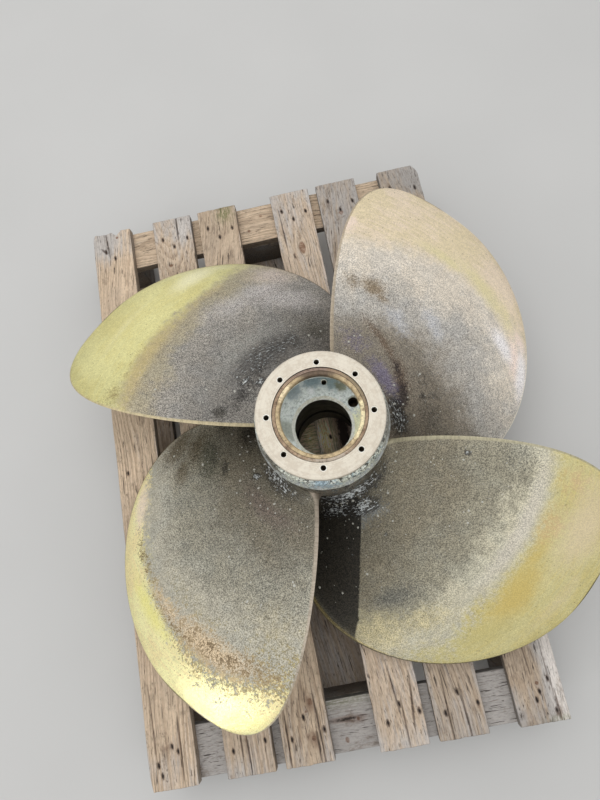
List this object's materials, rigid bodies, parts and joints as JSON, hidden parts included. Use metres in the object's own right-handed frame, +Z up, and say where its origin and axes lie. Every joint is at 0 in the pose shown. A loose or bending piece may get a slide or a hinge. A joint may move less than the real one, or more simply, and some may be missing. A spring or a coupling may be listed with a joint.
{
  "type": "ship propeller on a wooden pallet",
  "caption": "Four-bladed bronze ship propeller with wide skewed blades and a tapered shaft bore, lying face up on a wooden pallet.",
  "frame": {"origin": "centre of the pallet's underside, under its middle runner", "axes": "+Z up, along the propeller's shaft axis towards its after face; +Y along the pallet's length; +X to the pallet's right"},
  "size_m": [0.9418, 1.21, 0.4712],
  "materials": {
    "bronze": "cast propeller bronze with brown patina, polished yellow near the tips",
    "ring_bronze": "machined, tarnished brown",
    "pallet_wood": "rough sawn, weathered grey brown",
    "block_wood": "rough sawn, weathered dark"
  },
  "bodies": {
    "root": {"propeller_casting": "bronze", "seat_ring": "ring_bronze", "deck_board_1": "pallet_wood", "deck_board_2": "pallet_wood", "deck_board_3": "pallet_wood", "deck_board_4": "pallet_wood", "deck_board_5": "pallet_wood", "deck_board_6": "pallet_wood", "cross_board_near": "pallet_wood", "cross_board_centre": "pallet_wood", "cross_board_far": "pallet_wood", "runner_left": "pallet_wood", "runner_middle": "pallet_wood", "runner_right": "pallet_wood", "block_near_left": "block_wood", "block_near_middle": "block_wood", "block_near_right": "block_wood", "block_centre_left": "block_wood", "block_centre_middle": "block_wood", "block_centre_right": "block_wood", "block_far_left": "block_wood", "block_far_middle": "block_wood", "block_far_right": "block_wood"}
  },
  "joints": []
}
